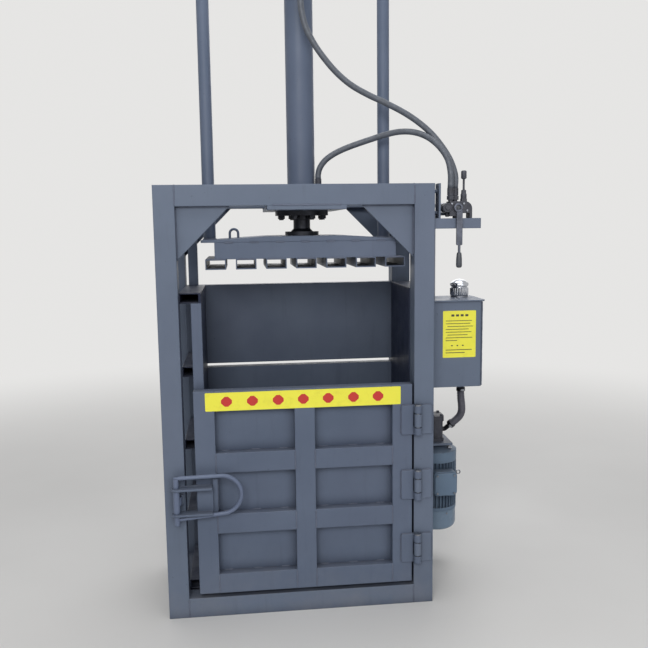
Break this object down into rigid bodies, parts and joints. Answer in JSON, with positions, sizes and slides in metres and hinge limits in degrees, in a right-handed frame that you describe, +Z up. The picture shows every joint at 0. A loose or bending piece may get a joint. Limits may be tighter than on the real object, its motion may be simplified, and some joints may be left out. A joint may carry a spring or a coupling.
{
  "type": "vertical recycling baler",
  "caption": "Vertical press baler: welded tube frame, hinged panelled door with latch, platen on a hydraulic cylinder, oil tank, motor, pump and lever valve.",
  "frame": {"origin": "on the floor, under the middle of the front base beam", "axes": "+X to the machine's right as seen from the door, +Y into the machine, +Z up"},
  "size_m": [1.323, 0.579, 2.59],
  "materials": {
    "paint": "satin",
    "wall_paint": "worn satin",
    "motor_paint": "satin",
    "dark_steel": "oily dark steel",
    "steel": "dull plated",
    "chrome": "polished",
    "cast_iron": "cast",
    "copper": "varnished winding",
    "black_plastic": "moulded",
    "grip": "smooth",
    "black_fittings": "blackened",
    "suction_rubber": "ribbed",
    "hose_rubber": "smooth"
  },
  "bodies": {
    "frame": {"front_columns": "paint", "rear_columns": "paint", "top_beams": "paint", "base_beams": "paint", "side_rails": "paint", "corner_gussets": "paint", "chamber_floor": "wall_paint", "left_wall": "wall_paint", "right_wall": "wall_paint", "left_wall_ribs": "paint", "right_wall_ribs": "paint", "wall_posts": "paint", "back_wall": "wall_paint", "back_wall_bars": "paint", "cylinder_plate": "paint", "guide_sleeves": "paint", "cylinder_tube": "paint", "cylinder_flange": "dark_steel", "rod_gland": "steel", "cylinder_cap": "paint", "flange_bolts": "steel", "hose_fittings": "steel", "valve_bracket": "paint", "valve_body": "cast_iron", "relief_valve": "cast_iron", "hydraulic_tank": "paint", "tank_brackets": "paint", "filler_neck": "steel", "motor_bracket": "paint", "motor_housing": "motor_paint", "motor_stator": "copper", "motor_end_shields": "motor_paint", "terminal_box": "motor_paint", "fan_cowl": "motor_paint", "pump_body": "cast_iron", "suction_nozzles": "black_fittings", "suction_hose": "suction_rubber", "hose_upper": "hose_rubber", "hose_lower": "hose_rubber", "oil_pipes": "steel", "column_hinge_leaves": "paint", "hinge_pins": "steel"},
    "door": {"door_plate": "paint", "door_stiles": "paint", "door_rails": "paint", "door_hinge_leaves": "paint", "latch_hasp": "paint"},
    "latch": {"latch_pin": "steel", "latch_handle": "paint"},
    "platen": {"platen_tubes": "paint", "platen_beams": "paint", "platen_plate": "paint", "guide_posts": "paint", "piston_rod": "chrome", "piston": "dark_steel"},
    "filler": {"breather_cap": "chrome"},
    "rotor": {"motor_shaft": "steel", "cooling_fan": "black_plastic"},
    "lever": {"valve_lever": "steel", "lever_grip": "grip"}
  },
  "joints": [
    {"name": "platen_press", "type": "slide", "parent": "frame", "child": "platen", "axis": [0, 0, -1], "range_m": [0, 0.8]},
    {"name": "door_swing", "type": "hinge", "parent": "frame", "child": "door", "pos_m": [0.4715, -0.06, 0.5], "axis": [0, 0, 1], "range_deg": [0, 170]},
    {"name": "handle_turn", "type": "hinge", "parent": "door", "child": "latch", "pos_m": [-0.491, -0.078, 0.501], "axis": [0, 0, -1], "range_deg": [0, 120]},
    {"name": "lever_swing", "type": "hinge", "parent": "frame", "child": "lever", "pos_m": [0.634, -0.004, 1.625], "axis": [0, 1, 0], "range_deg": [-18, 18], "stiffness_Nm_per_rad": 8},
    {"name": "cap_turn", "type": "hinge", "parent": "frame", "child": "filler", "pos_m": [0.715, 0.21, 1.28], "axis": [0, 0, 1], "range_deg": [0, 90]},
    {"name": "motor_spin", "type": "hinge", "parent": "frame", "child": "rotor", "pos_m": [0.64, 0.31, 0.43], "axis": [0, 0, 1], "continuous": true}
  ]
}
